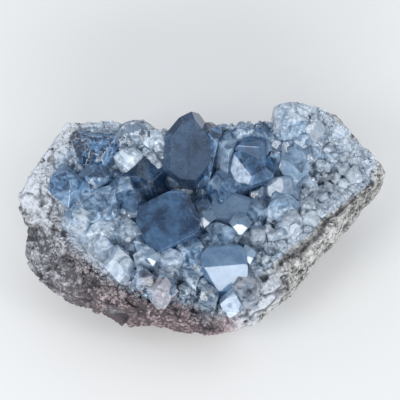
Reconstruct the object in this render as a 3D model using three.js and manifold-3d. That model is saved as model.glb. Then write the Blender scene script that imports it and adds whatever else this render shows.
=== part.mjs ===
// Celestite geode: a hand-sized piece of a broken nodule, lying on its back with the crystals up.
// A shell of granular rock holds one crust of pale blue crystals, all grown together.
// Millimetres, +Z up. The origin is under the middle of the piece, on the surface it lies on.
// +X runs along its length to the narrow lobe, and -Y is the side of the low front rim.
import * as THREE from 'three';
import { mergeVertices } from 'three/addons/utils/BufferGeometryUtils.js';
import Module from 'manifold-3d';

const wasm = await Module();
wasm.setup();

const degrees = Math.PI / 180;

// ---------------------------------------------------------------- driving dimensions
const origin = [-0.24, 1.2]; // middle of the whole piece, from the point that the places below are given from
const gap = 0.4; // between the rock and the crust that fits its hollow
const rock = {
  middle: [0, 4], // point in plan that the outline is measured round
  waist: 17, // height of the widest section above the resting face
  floor: 22, // lowest part of the hollow
  drop: 0.55, // how far the bulge of the back is cut off by the resting face
  wall: 36, // slope at which the wall over the waist ends at the rim
  tuck: 0.03, // share by which the rim stands in from the waist
  round: 0.8, // how round the section is under the waist: 1 is an ellipsoid, 0 is a box
  calm: 0.75, // share of the lumps that is worn away by the resting face
  sheer: 0.8, // how flat a break is: at 1 it is a plane
  flat: 0.9, // share of the way out where the hollow has come up to the rim
  dish: 1.7, // how sharply the hollow turns up
  fall: 1.3, // how the sectors close in from the rim to the middle of the hollow
  upright: 0.8, // how fast the wall rises over the waist
  worn: [50, 80], // slopes of the back between which its lumps are worn away
  sectors: 54,
  bands: 18,
};
const seat = { depth: 3.4, share: 0.97, sectors: 26, rings: 4 }; // the hollow that the crust sits in
const layer = 2.2; // thickness of massive celestite under the crystals
const habit = {
  prism: 38, // bearing of the rhombic faces from the width
  cut: 0.86, // how far the rhombic faces stand in from the corners of the section
  root: 4.4, // depth of a crystal below the bed
  full: 9.5, // width from which a crystal has its long and short corners cut off
  lean: 30, // most that a small crystal leans from square to the bed
};
const bed = {
  west: -62, east: 62, south: -34, north: 36, // the places that are tried
  share: 0.92, // how far out they may be, as a share of the crystals' reach
  lobe: 0.62, // how much smaller the crystals are on the narrow lobe
  narrow: [26, 38], // where along the length they get smaller
};
const lump = { longest: 46, next: 0.82, height: 0.021, count: 11 }; // wavelengths, and height as a share
const skyHeight = 90; // over every crystal

// Flat breaks where pieces have come off: bearing and rise of the way that each faces, and its depth.
const breaks = [
  [-62, 50, 4.6],
  [-130, 50, 7.0],
  [-48, 20, 3.5],
  [-75, -20, 3.0],
  [-112, 5, 2.6],
  [-140, -25, 1.4],
  [-160, 22, 1.6],
  [172, -12, 1.5],
  [150, 18, 1.8],
  [122, -30, 3],
  [95, 4, 1.2],
  [70, -35, 3.6],
  [48, 10, 1.4],
  [15, -30, 3.4],
  [-20, -48, 3.8],
  [-90, -55, 3.0],
  [175, -52, 3.0],
];

// Plan outline, anticlockwise from the narrow lobe: x, y, height of the rim there,
// and how far out the crystals reach, as a share of the way to the edge.
const outline = [
  [64.4, 24, 30, 0.95],
  [62, 28.5, 34, 0.93],
  [56, 31, 38, 0.92],
  [50, 34.5, 42, 0.92],
  [42, 37.5, 46.5, 0.93],
  [33, 37.5, 45.5, 0.96],
  [24.5, 34.5, 39, 1.0],
  [14, 33, 38, 1.0],
  [4, 33, 37, 1.0],
  [-6, 33, 37, 0.98],
  [-16, 34, 38, 0.95],
  [-25, 34.5, 39.5, 0.94],
  [-36, 35.5, 41, 0.93],
  [-46, 35.5, 41.5, 0.87],
  [-53, 31.5, 39, 0.82],
  [-58.5, 26, 37.5, 0.84],
  [-62.5, 18.5, 35, 0.82],
  [-64.4, 10, 32.5, 0.76],
  [-64.2, 2, 30, 0.73],
  [-63, -7.5, 28, 0.71],
  [-58.5, -16.5, 26, 0.67],
  [-51.5, -22.5, 26, 0.69],
  [-42, -26, 26, 0.74],
  [-31, -30.5, 25, 0.76],
  [-22, -33, 24, 0.76],
  [-13, -32, 23, 0.8],
  [-3, -35, 22, 0.8],
  [7.5, -38.5, 21, 0.8],
  [17, -35.5, 22, 0.76],
  [25.5, -27.5, 24, 0.7],
  [33, -17, 26, 0.76],
  [41, -8, 28, 0.8],
  [48.5, 2, 29, 0.86],
  [55.5, 11, 29, 0.94],
  [62, 17, 28, 0.94],
];

// The crystals that stand out: where the axis leaves the bed in plan; width, thickness and length from
// the bed to the tip; bearing and rise of the axis; turn about the axis; slopes of the roof over the width
// and of the hip over the thickness, measured from square to the axis; share of the tip that is blunt.
const showCrystals = {
  tall: [-7, 11, 19, 10, 38, 84, 42, 3, 46, 30, 0.04],
  twin: [0.4, 20, 8, 7, 20, 74, 46, 8, 40, 34, 0.1],
  heart: [-11, 0, 21, 18, 14, 250, 76, 24, 12, 10, 0.1],
  dusk: [-18.5, 12, 14, 11, 16, 120, 55, -22, 42, 30, 0.1],
  mirror: [7, -18, 15, 14, 13, 90, 82, 4, 24, 30, 0.3],
  dome: [16, 20, 15, 12, 12, 300, 72, 26, 34, 30, 0.2],
  block: [18, 21, 11, 10, 14, 100, 60, -14, 30, 38, 0.14],
  cube: [8, 23, 8, 8, 11, 85, 62, 4, 18, 24, 0.1],
  boulder: [30, 32.5, 12, 11, 9, 100, 60, 20, 40, 38, 0.16],
  cap: [15, 28, 10, 7, 9, 90, 52, 0, 44, 30, 0.2],
  cornice: [-37, 25.5, 16, 12, 11, 120, 64, 58, 30, 26, 0.2],
  ledge: [-37, 17, 12, 8, 10, 240, 60, 30, 44, 34, 0.12],
  pillar: [-46, 13, 8, 9, 9, 200, 52, 0, 30, 30, 0.24],
  clear: [28, 15, 12, 9, 9, 300, 62, 12, 40, 34, 0.16],
  slab: [10, 8, 13, 12, 11, 260, 68, -20, 28, 36, 0.26],
  left: [9, 14, 12, 11, 11, 200, 62, 40, 36, 34, 0.14],
  bright: [13.1, 1.2, 6, 5, 8.5, 270, 75, 0, 20, 33.5, 0.02],
  steps: [1.2, 4, 3.6, 5.5, 8.5, 270, 75, -8, 20, 33.5, 0.02],
  green: [7.5, -3, 7, 6, 8, 270, 64, 30, 34, 36, 0.14],
  tooth: [-29.5, -14.5, 8, 6, 9, 300, 50, 14, 46, 36, 0.04],
  iceLeft: [-19, -12, 8, 7, 9, 270, 60, -18, 34, 40, 0.12],
  iceRight: [-13, -12.5, 8, 7, 9, 300, 58, 34, 36, 42, 0.1],
  ash: [-4, -9, 9, 8, 9, 270, 64, 8, 30, 30, 0.2],
  olive: [-20, -20, 7, 6, 7, 280, 46, 22, 30, 30, 0.2],
  mauve: [-14, -23.5, 8, 7, 7.5, 270, 44, 0, 36, 34, 0.24],
  toe: [9.5, -27, 6, 5, 7, 272, 43, -6, 34, 34, 0.34],
  heel: [14, -23, 9, 7, 6.5, 300, 52, 26, 34, 34, 0.2],
  foot: [-13, -17, 9, 6, 7, 270, 54, 4, 40, 30, 0.16],
  glass: [-27, 12, 9, 9, 10, 160, 58, -30, 36, 30, 0.16],
  wedge: [-26, 10, 8, 7, 9, 320, 60, 44, 42, 34, 0.08],
  pool: [-36, 6.5, 14, 12, 8, 255, 76, 10, 22, 24, 0.22],
  frost: [-43, 1.5, 8, 7, 8, 240, 60, 16, 38, 40, 0.1],
  rime: [-35, -2.5, 9, 8, 8, 270, 62, -24, 36, 42, 0.1],
  lilac: [-35, -8, 8, 8, 7, 260, 56, 0, 30, 30, 0.24],
  peak: [31, 24, 8, 8, 9, 60, 58, 24, 36, 34, 0.1],
  stump: [32.5, 21, 9, 7, 7, 270, 62, -8, 26, 28, 0.28],
  knuckle: [27.5, 7, 9, 8, 8, 280, 64, 20, 34, 34, 0.2],
  gable: [0.5, 6, 8, 7, 9, 90, 62, -12, 38, 34, 0.1],
  spur: [19.5, 27, 7, 6, 9, 40, 60, 10, 36, 34, 0.12],
  shard: [-20, -6, 8, 6, 8, 220, 60, 28, 42, 36, 0.06],
  brow: [-25.5, 31, 14, 8, 4.5, 110, 56, 20, 30, 40, 0.2],
  leaf: [-32.8, 21, 3.4, 2.4, 8.5, 90, 60, 0, 55, 30, 0.02],
  fleck: [15.2, -10.8, 4, 4, 7.5, 270, 75, 10, 20, 33.5, 0.02],
  glint: [-17.4, -12.5, 2.4, 5, 9.5, 270, 75, 0, 20, 33.5, 0.02],
};

// More faces on some of them: bearing and rise about the crystal's own axis, and distance from its base.
const moreFaces = {
  tall: [
    [140, 50, 24.2],
    [165, 35, 20.3],
    [342, 38, 21],
    [224, 23, 17],
    [253, 48, 26.2],
    [329, 12, 13.1],
    [270, -50, -3.7],
    [225, -45, -2.8],
    [325, -30, 0.2],
  ],
  mirror: [[270, 33.5, 6.2], [218, -3, 5.9]],
  boulder: [[225, 46, 7], [315, 48, 7.1], [45, 46, 7.2]],
};

// The smaller crystals that fill the bed between them, largest first: how many places are tried, the
// width at the middle of the bed and at its edge, and how close two may stand, as a share of their widths.
const fills = [
  { tries: 500, middle: 8.4, edge: 6, pack: 0.42 },
  { tries: 700, middle: 6, edge: 4.8, pack: 0.47 },
];

// ---------------------------------------------------------------- small helpers
const clamp01 = (t) => Math.min(1, Math.max(0, t));
const smooth = (t) => clamp01(t) ** 2 * (3 - 2 * clamp01(t));
const mix = (a, b, t) => a + (b - a) * t;
const dot = (a, b) => a[0] * b[0] + a[1] * b[1] + a[2] * b[2];
const add = (a, b, t = 1) => [a[0] + t * b[0], a[1] + t * b[1], a[2] + t * b[2]];
const cross = (a, b) => [a[1] * b[2] - a[2] * b[1], a[2] * b[0] - a[0] * b[2], a[0] * b[1] - a[1] * b[0]];
const unit = (a) => add([0, 0, 0], a, 1 / Math.hypot(...a));
const directionOf = (bearing, rise) => [
  Math.cos(rise * degrees) * Math.cos(bearing * degrees),
  Math.cos(rise * degrees) * Math.sin(bearing * degrees),
  Math.sin(rise * degrees),
];
const hash = (i, k) => {
  const s = Math.sin(i * 12.9898 + k * 78.233) * 43758.5453;
  return s - Math.floor(s);
};

const rim = outline
  .map(([x, y, height, reach]) => ({
    angle: Math.atan2(y - rock.middle[1], x - rock.middle[0]),
    radius: Math.hypot(x - rock.middle[0], y - rock.middle[1]),
    height,
    reach,
  }))
  .sort((a, b) => a.angle - b.angle);

// Radius, rim height and reach at any bearing, straight between the points of the outline.
function rimAt(angle) {
  const turn = 2 * Math.PI;
  const a = ((angle + Math.PI) % turn + turn) % turn - Math.PI;
  let hi = rim.findIndex((p) => p.angle > a);
  if (hi < 0) hi = 0;
  const next = rim[hi];
  const last = rim[(hi + rim.length - 1) % rim.length];
  const span = (next.angle - last.angle + turn) % turn;
  const t = ((a - last.angle + turn) % turn) / span;
  return {
    radius: mix(last.radius, next.radius, t),
    height: mix(last.height, next.height, t),
    reach: mix(last.reach, next.reach, t),
  };
}

// Lumps of the rock: waves in scattered directions, each shorter and lower than the one before.
const goldenAngle = 2.39996; // radians: spreads the directions evenly
const waves = Array.from({ length: lump.count }, (_, i) => {
  const wavelength = lump.longest * lump.next ** i;
  const up = 1 - (2 * (i + 0.5)) / lump.count;
  const level = Math.sqrt(1 - up * up);
  return {
    k: (2 * Math.PI) / wavelength,
    direction: [level * Math.cos(i * goldenAngle), level * Math.sin(i * goldenAngle), up],
    height: wavelength * lump.height,
    phase: 2 * Math.PI * hash(i, 3),
  };
});
function lumps(x, y, z) {
  let sum = 0;
  for (const { k, direction, height, phase } of waves) {
    sum += height * Math.sin(k * (direction[0] * x + direction[1] * y + direction[2] * z) + phase);
  }
  return sum;
}

// Height of the rock inside the rim: a hollow that falls from the rim to its floor.
function hollow(x, y) {
  const dx = x - rock.middle[0];
  const dy = y - rock.middle[1];
  const edge = rimAt(Math.atan2(dy, dx));
  const share = clamp01(Math.hypot(dx, dy) / edge.radius / rock.flat);
  return mix(rock.floor, edge.height, share ** rock.dish);
}

// ---------------------------------------------------------------- solids
function solid(geometry) {
  const bare = geometry.clone();
  for (const name of Object.keys(bare.attributes)) {
    if (name !== 'position') bare.deleteAttribute(name);
  }
  const merged = mergeVertices(bare, 1e-4);
  return new wasm.Manifold(
    new wasm.Mesh({
      numProp: 3,
      vertProperties: new Float32Array(merged.attributes.position.array),
      triVerts: new Uint32Array(merged.index.array),
    }),
  );
}

function indexed(points, triangles) {
  const geometry = new THREE.BufferGeometry();
  geometry.setAttribute('position', new THREE.Float32BufferAttribute(points.flat(), 3));
  geometry.setIndex(triangles.flat());
  return geometry;
}

// A closed skin over a grid of rings from a lower pole to an upper one.
function skin(rings, sectors, pointAt) {
  const points = [pointAt(0, 0)];
  for (let j = 1; j < rings; j++) {
    for (let i = 0; i < sectors; i++) points.push(pointAt(i, j));
  }
  points.push(pointAt(0, rings));
  const top = points.length - 1;
  const at = (i, j) => 1 + (j - 1) * sectors + (i % sectors);
  const triangles = [];
  for (let i = 0; i < sectors; i++) {
    triangles.push([0, at(i + 1, 1), at(i, 1)]);
    triangles.push([top, at(i, rings - 1), at(i + 1, rings - 1)]);
    for (let j = 1; j < rings - 1; j++) {
      triangles.push([at(i, j), at(i + 1, j), at(i + 1, j + 1)]);
      triangles.push([at(i, j), at(i + 1, j + 1), at(i, j + 1)]);
    }
  }
  return indexed(points, triangles);
}

// The rock before it was broken: a rounded back, a steep wall up to a sharp rim in the shape of the
// outline, and the hollow inside it. slope runs from straight down to straight up.
function blockAt(bearing, slope) {
  const edge = rimAt(bearing);
  const wall = clamp01(slope / degrees / rock.wall);
  const inwards = clamp01((slope / degrees - rock.wall) / (90 - rock.wall));
  const below = Math.max(0, Math.cos(Math.min(0, slope))) ** rock.round;
  const out = edge.radius * below * (1 - rock.tuck * wall ** 2) * (1 - inwards ** rock.fall);
  const x = rock.middle[0] + out * Math.cos(bearing);
  const y = rock.middle[1] + out * Math.sin(bearing);
  const back = rock.waist * (1 + Math.sin(slope));
  const z = slope < 0 ? back : mix(rock.waist, hollow(x, y), wall ** rock.upright);
  return [x, y, z - rock.drop];
}

const breakPlanes = breaks.map(([bearing, rise, depth]) => {
  const normal = directionOf(bearing, rise);
  let reach = -Infinity;
  for (let i = 0; i < 72; i++) {
    for (let j = 0; j <= 12; j++) {
      reach = Math.max(reach, dot(normal, blockAt((i * Math.PI) / 36, (Math.PI * (j - 6)) / 12)));
    }
  }
  return { normal, reach: reach - depth };
});

// The rock's outside: the block with lumps, then cut back to its flat breaks. swell moves it outwards.
function rockSkin(swell) {
  return skin(rock.bands, rock.sectors, (i, j) => {
    const bearing = (2 * Math.PI * i) / rock.sectors;
    const slope = Math.PI * (j / rock.bands - 0.5);
    const outwards = directionOf(bearing / degrees, slope / degrees);
    let point = blockAt(bearing, slope);
    const rough = 1 - rock.calm * smooth((-slope / degrees - rock.worn[0]) / (rock.worn[1] - rock.worn[0]));
    point = add(point, outwards, lumps(...point) * rough);
    for (const { normal, reach } of breakPlanes) {
      point = add(point, normal, -rock.sheer * Math.max(0, dot(normal, point) - reach));
    }
    return add(point, outwards, swell);
  });
}

// The space over the bed of the hollow, as a coarse bowl with steep sides. lift raises its floor and inset
// brings its sides in, both from the seat that is cut in the rock.
function bowl(lift, inset, topHeight) {
  return skin(2 * seat.rings, seat.sectors, (i, j) => {
    const ring = j <= seat.rings ? j : 2 * seat.rings - j;
    const bearing = (2 * Math.PI * (i + 0.5 * (ring % 2))) / seat.sectors;
    const edge = rimAt(bearing);
    const across = [Math.cos(bearing), Math.sin(bearing), 0];
    const out = (ring / seat.rings) * edge.radius * edge.reach * seat.share;
    const [x, y] = add([...rock.middle, 0], across, out);
    const z = j <= seat.rings ? hollow(x, y) - seat.depth + lift : topHeight(x, y);
    return add([x, y, z], across, (-inset * ring) / seat.rings);
  });
}

// ---------------------------------------------------------------- crystals
// The faces of one crystal about its own axis, each as a normal and its distance from the middle of the
// base: a prism of rhombic section with its long and short corners cut off, closed by a roof over the
// width, a hip over the thickness, and a small flat. No two faces stand at quite the same distance.
function facesOf(width, thickness, length, roof, hip, blunt, seed, more) {
  const vary = (k, share) => 1 + share * (2 * hash(seed, k) - 1);
  const turn = habit.prism * degrees;
  const prism = (habit.cut * (width * Math.cos(turn) + thickness * Math.sin(turn))) / 2;
  const faces = [
    [0, 90 - roof, length * Math.cos(roof * degrees) * vary(5, 0.08)],
    [180, 90 - roof, length * Math.cos(roof * degrees) * vary(6, 0.08)],
    [90, 90 - hip, length * Math.cos(hip * degrees) * vary(7, 0.08)],
    [270, 90 - hip, length * Math.cos(hip * degrees) * vary(8, 0.08)],
    [360 * hash(seed, 9), 90 - 7 * hash(seed, 10), length * (1 - blunt)],
    [0, -90, habit.root],
  ];
  if (width > habit.full) {
    faces.push([0, 0, (width / 2) * vary(1, 0.12)], [180, 0, (width / 2) * vary(2, 0.12)]);
    faces.push([90, 0, (thickness / 2) * vary(3, 0.12)], [270, 0, (thickness / 2) * vary(4, 0.12)]);
  }
  for (const bearing of [habit.prism, 180 - habit.prism, 180 + habit.prism, 360 - habit.prism]) {
    faces.push([bearing, 0, prism * vary(11 + bearing, 0.1)]);
  }
  return [...faces, ...more].map(([bearing, rise, reach]) => ({ normal: directionOf(bearing, rise), reach }));
}

// The solid inside a set of faces. A corner is where three of them meet and no other cuts it off, and
// each face is the ring of its corners in order round its normal.
function cornersOf(faces) {
  const corners = [];
  for (let i = 0; i < faces.length; i++) {
    for (let j = i + 1; j < faces.length; j++) {
      const edge = cross(faces[i].normal, faces[j].normal);
      for (let k = j + 1; k < faces.length; k++) {
        const volume = dot(edge, faces[k].normal);
        if (Math.abs(volume) < 1e-6) continue;
        let at = add([0, 0, 0], edge, faces[k].reach / volume);
        at = add(at, cross(faces[j].normal, faces[k].normal), faces[i].reach / volume);
        at = add(at, cross(faces[k].normal, faces[i].normal), faces[j].reach / volume);
        if (faces.every((f, n) => n === i || n === j || n === k || dot(f.normal, at) < f.reach)) {
          corners.push({ at, meets: [i, j, k] });
        }
      }
    }
  }
  return corners;
}

function crystal([x, y, width, thickness, length, bearing, rise, spin, roof, hip, blunt], seed, more = []) {
  const axis = directionOf(bearing, rise);
  const back = unit(add([0, 1, 0], axis, -axis[1]));
  const side = cross(back, axis);
  const across = add(add([0, 0, 0], side, Math.cos(spin * degrees)), back, Math.sin(spin * degrees));
  const through = cross(axis, across);
  const faces = facesOf(width, thickness, length, roof, hip, blunt, seed, more);
  const corners = cornersOf(faces);
  const base = [x, y, hollow(x, y)];
  const points = corners.map(({ at }) => add(add(add(base, across, at[0]), through, at[1]), axis, at[2]));
  const triangles = [];
  faces.forEach(({ normal }, n) => {
    const ring = corners.map((corner, id) => ({ ...corner, id })).filter(({ meets }) => meets.includes(n));
    if (ring.length < 3) return;
    const middle = ring.reduce((sum, { at }) => add(sum, at, 1 / ring.length), [0, 0, 0]);
    const along = unit(add(ring[0].at, middle, -1));
    const over = cross(normal, along);
    const angle = ({ at }) => Math.atan2(dot(add(at, middle, -1), over), dot(add(at, middle, -1), along));
    ring.sort((p, q) => angle(p) - angle(q));
    for (let i = 1; i < ring.length - 1; i++) triangles.push([ring[0].id, ring[i].id, ring[i + 1].id]);
  });
  return solid(indexed(points, triangles));
}

// Scattered crystals: a place is kept if it is on the bed and clear of the ones kept before it. They lean
// out from the bed at random, at most habit.lean degrees, and are smaller on the narrow lobe.
function scatter(placed) {
  const kept = [];
  let seed = 100;
  for (const { tries, middle, edge, pack } of fills) {
    for (let i = 0; i < tries; i++) {
      seed += 1;
      const x = bed.west + (bed.east - bed.west) * hash(seed, 1);
      const y = bed.south + (bed.north - bed.south) * hash(seed, 2);
      const rimHere = rimAt(Math.atan2(y - rock.middle[1], x - rock.middle[0]));
      const share = Math.hypot(x - rock.middle[0], y - rock.middle[1]) / (rimHere.radius * rimHere.reach);
      if (share > bed.share) continue;
      const fine = mix(1, bed.lobe, smooth((x - bed.narrow[0]) / (bed.narrow[1] - bed.narrow[0])));
      const width = mix(middle, edge, share ** 2) * fine * (0.8 + 0.4 * hash(seed, 3));
      if (placed.some((p) => Math.hypot(p[0] - x, p[1] - y) < pack * (width + (p[2] + p[3]) / 2))) continue;
      const slope = [hollow(x + 1, y) - hollow(x - 1, y), hollow(x, y + 1) - hollow(x, y - 1)];
      const lean = habit.lean * Math.sqrt(hash(seed, 4)) * degrees;
      const way = 2 * Math.PI * hash(seed, 5);
      const axis = unit([
        Math.tan(lean) * Math.cos(way) - slope[0] / 2,
        Math.tan(lean) * Math.sin(way) - slope[1] / 2,
        1,
      ]);
      const bearing = Math.atan2(axis[1], axis[0]) / degrees;
      const rise = Math.asin(axis[2]) / degrees;
      const length = width * (0.75 + 0.5 * hash(seed, 6));
      const thickness = width * (0.7 + 0.25 * hash(seed, 7));
      const ends = [30 + 16 * hash(seed, 8), 28 + 16 * hash(seed, 9), 0.06 + 0.2 * hash(seed, 10)];
      const row = [x, y, width, thickness, length, bearing, rise, 360 * hash(seed, 11), ...ends];
      placed.push(row);
      kept.push([row, seed]);
    }
  }
  return kept;
}

// ---------------------------------------------------------------- build
const floorBlock = new THREE.BoxGeometry(200, 200, 40);
floorBlock.translate(0, 0, -20);

const sky = () => skyHeight;
const skinSolid = solid(rockSkin(0));
const rockSolid = skinSolid.subtract(solid(floorBlock)).subtract(solid(bowl(0, 0, sky)));

const massive = bowl(gap, gap, (x, y) => hollow(x, y) - seat.depth + gap + layer);
const keepOut = solid(rockSkin(gap)).subtract(solid(bowl(gap, gap, sky)));
const shown = Object.entries(showCrystals).map(([name, row], i) => [row, i + 1, moreFaces[name]]);
const grown = [...shown, ...scatter(Object.values(showCrystals))];
let crust = solid(massive);
for (const [row, seed, more] of grown) crust = crust.add(crystal(row, seed, more));
crust = crust.subtract(keepOut);

// The cut leaves a few splinters of crystal in the notches of the rim. Only the crust itself is kept.
const byVolume = (a, b) => b.volume() - a.volume();
const [crustSolid] = crust.decompose().sort(byVolume);

function meshOf(name, manifold, material) {
  const { vertProperties, triVerts, numProp } = manifold.getMesh();
  const points = [];
  for (let i = 0; i < vertProperties.length; i += numProp) {
    points.push(vertProperties[i], vertProperties[i + 1], vertProperties[i + 2]);
  }
  const geometry = new THREE.BufferGeometry();
  geometry.setAttribute('position', new THREE.Float32BufferAttribute(points, 3));
  geometry.setIndex(new THREE.BufferAttribute(triVerts, 1));
  const mesh = new THREE.Mesh(geometry, material);
  mesh.name = name;
  return mesh;
}

const geode = new THREE.Group();
const limestone = new THREE.MeshStandardMaterial({ color: '#a9a6a6', roughness: 0.92, metalness: 0 });
const celestite = new THREE.MeshStandardMaterial({ color: '#8ea6c2', roughness: 0.2, metalness: 0 });
geode.add(meshOf('rock_shell', rockSolid, limestone));
geode.add(meshOf('crystal_crust', crustSolid, celestite));
geode.position.set(-origin[0], -origin[1], 0);

export default geode;
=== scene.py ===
import math
from functools import partial
from itertools import combinations

import bpy
import numpy as np
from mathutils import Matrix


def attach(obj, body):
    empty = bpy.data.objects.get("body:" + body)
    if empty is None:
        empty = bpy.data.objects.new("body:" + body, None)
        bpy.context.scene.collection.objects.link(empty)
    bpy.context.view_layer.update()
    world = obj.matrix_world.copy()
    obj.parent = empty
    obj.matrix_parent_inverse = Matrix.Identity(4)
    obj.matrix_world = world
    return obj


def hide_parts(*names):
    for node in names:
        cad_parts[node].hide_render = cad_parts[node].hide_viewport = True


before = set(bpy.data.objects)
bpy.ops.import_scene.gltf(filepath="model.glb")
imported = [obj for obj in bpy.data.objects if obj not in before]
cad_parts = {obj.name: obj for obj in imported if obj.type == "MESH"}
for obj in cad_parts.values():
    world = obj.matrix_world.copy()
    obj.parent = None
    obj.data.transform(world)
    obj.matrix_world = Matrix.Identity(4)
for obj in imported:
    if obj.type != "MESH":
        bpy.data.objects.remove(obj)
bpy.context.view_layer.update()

# A piece of a celestite geode, lying on its back with the crystals up. Lengths are in millimetres and
# turned to metres only where a mesh is made. Places are given from the same point as the solids' are,
# and planMiddle is the middle of the whole piece from there.
planMiddle = np.array([-0.24, 1.2, 0.0])
mm = 0.001
deg = math.pi / 180


def smooth(low, high, value):
    # 0 below low, 1 above high, and an S-shaped step between them
    t = np.clip((value - low) / (high - low), 0, 1)
    return t * t * (3 - 2 * t)


def arc(bearing, start, full, fade, end):
    # 1 between the bearings full and fade, falling to 0 at start and end
    return smooth(start, full, bearing) * smooth(end, fade, bearing)


def hashOf(i, k):
    # a number from 0 to 1 that looks random but is always the same for the same i and k
    s = np.sin(i * 12.9898 + k * 78.233) * 43758.5453
    return s - np.floor(s)


def directionOf(bearing, rise):
    # unit vectors from a bearing and a rise, both in radians
    return np.stack([np.cos(rise) * np.cos(bearing), np.cos(rise) * np.sin(bearing),
                     np.sin(rise) * np.ones_like(bearing)], axis=-1)


def unit(v):
    return v / np.linalg.norm(v, axis=-1, keepdims=True)


def dotOf(a, b):
    return np.sum(a * b, axis=-1)


def cellNoise(points, size, seed):
    # each cube of the given size holds one random point. Gives the distance to the nearest such point
    # and to the next one, in sizes, and a number from 0 to 1 for the nearest one's grain
    p = points / size
    home = np.floor(p)
    near = np.full(p.shape[:-1], 9.0)
    second = near.copy()
    grain = np.zeros(p.shape[:-1])
    for step in np.ndindex(3, 3, 3):
        cell = home + np.array(step) - 1
        key = cell @ np.array([1.0, 57.0, 113.0]) + seed
        point = cell + np.stack([hashOf(key, 1), hashOf(key, 2), hashOf(key, 3)], axis=-1)
        distance = np.linalg.norm(p - point, axis=-1)
        closer = distance < near
        second = np.where(closer, near, np.minimum(second, distance))
        grain = np.where(closer, hashOf(key, 4), grain)
        near = np.minimum(near, distance)
    return near, second, grain


def softNoise(points, size, seed):
    # values at the corners of cubes of the given size, blended smoothly between them, from 0 to 1
    p = points / size
    home = np.floor(p)
    f = p - home
    f = f * f * (3 - 2 * f)
    total = np.zeros(p.shape[:-1])
    for step in np.ndindex(2, 2, 2):
        corner = np.array(step)
        key = (home + corner) @ np.array([1.0, 57.0, 113.0]) + seed
        share = np.prod(np.where(corner == 1, f, 1 - f), axis=-1)
        total += share * hashOf(key, 5)
    return total


def makeObject(name, points, loops, starts):
    # a mesh object at the origin, from points in millimetres and faces as runs of point numbers
    mesh = bpy.data.meshes.new(name)
    mesh.vertices.add(len(points))
    mesh.vertices.foreach_set("co", ((points - planMiddle) * mm).astype(np.float32).ravel())
    mesh.loops.add(len(loops))
    mesh.loops.foreach_set("vertex_index", loops.astype(np.int32))
    mesh.polygons.add(len(starts))
    mesh.polygons.foreach_set("loop_start", starts.astype(np.int32))
    mesh.update(calc_edges=True)
    mesh.validate()
    thing = bpy.data.objects.new(name, mesh)
    bpy.context.scene.collection.objects.link(thing)
    return thing


def faceValues(mesh, name):
    values = np.empty(len(mesh.polygons), dtype=np.float32)
    mesh.attributes[name].data.foreach_get("value", values)
    return np.rint(values)


def addValues(mesh, name, values, domain="POINT"):
    layer = mesh.attributes.new(name, "FLOAT", domain)
    layer.data.foreach_set("value", np.asarray(values, dtype=np.float32).ravel())


# the rock's form: the same formulas and numbers as the solids have
rockForm = {
    "middle": (0, 4), "waist": 17, "floor": 22, "drop": 0.55, "wall": 36, "tuck": 0.03,
    "round": 0.8, "calm": 0.75, "sheer": 0.8,
    # bearing and rise of the way that each flat break faces, and its depth
    "breaks": [
        (-62, 50, 4.6), (-130, 50, 7.0), (-48, 20, 3.5), (-75, -20, 3.0), (-112, 5, 2.6), (-140, -25, 1.4),
        (-160, 22, 1.6), (172, -12, 1.5), (150, 18, 1.8), (122, -30, 3), (95, 4, 1.2), (70, -35, 3.6),
        (48, 10, 1.4), (15, -30, 3.4), (-20, -48, 3.8), (-90, -55, 3.0), (175, -52, 3.0),
    ],
    # the outline in plan: x, y, height of the rim, and how far out the crystals reach
    "outline": [
        (64.4, 24, 30, 0.95), (62, 28.5, 34, 0.93), (56, 31, 38, 0.92), (50, 34.5, 42, 0.92),
        (42, 37.5, 46.5, 0.93), (33, 37.5, 45.5, 0.96), (24.5, 34.5, 39, 1.0), (14, 33, 38, 1.0),
        (4, 33, 37, 1.0), (-6, 33, 37, 0.98), (-16, 34, 38, 0.95), (-25, 34.5, 39.5, 0.94),
        (-36, 35.5, 41, 0.93), (-46, 35.5, 41.5, 0.87), (-53, 31.5, 39, 0.82), (-58.5, 26, 37.5, 0.84),
        (-62.5, 18.5, 35, 0.82), (-64.4, 10, 32.5, 0.76), (-64.2, 2, 30, 0.73), (-63, -7.5, 28, 0.71),
        (-58.5, -16.5, 26, 0.67), (-51.5, -22.5, 26, 0.69), (-42, -26, 26, 0.74), (-31, -30.5, 25, 0.76),
        (-22, -33, 24, 0.76), (-13, -32, 23, 0.8), (-3, -35, 22, 0.8), (7.5, -38.5, 21, 0.8),
        (17, -35.5, 22, 0.76), (25.5, -27.5, 24, 0.7), (33, -17, 26, 0.76), (41, -8, 28, 0.8),
        (48.5, 2, 29, 0.86), (55.5, 11, 29, 0.94), (62, 17, 28, 0.94),
    ],
}
rockMiddle = np.array(rockForm["middle"], dtype=float)
rimTable = np.array(rockForm["outline"], dtype=float)
rimAngle = np.arctan2(rimTable[:, 1] - rockMiddle[1], rimTable[:, 0] - rockMiddle[0])
rimRadius = np.hypot(rimTable[:, 0] - rockMiddle[0], rimTable[:, 1] - rockMiddle[1])


def rimAt(angle):
    # radius, rim height and reach at a bearing, straight between the points of the outline
    return [np.interp(angle, rimAngle, column, period=2 * math.pi)
            for column in (rimRadius, rimTable[:, 2], rimTable[:, 3])]


def bedShare(x, y):
    # bearing about the middle, and the distance from it as a share of how far the crystals reach
    bearing = np.arctan2(y - rockMiddle[1], x - rockMiddle[0])
    radius, _, reach = rimAt(bearing)
    return bearing, np.hypot(x - rockMiddle[0], y - rockMiddle[1]) / (radius * reach)


def lumps(points):
    # eleven sine waves in scattered directions, each shorter and lower than the one before
    i = np.arange(11)
    wavelength = 46 * 0.82 ** i
    up = 1 - 2 * (i + 0.5) / 11
    ways = directionOf(i * 2.39996, np.arcsin(up))
    phase = points @ ways.T * (2 * math.pi / wavelength) + 2 * math.pi * hashOf(i, 3)
    return np.sum(wavelength * 0.021 * np.sin(phase), axis=-1)


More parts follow.
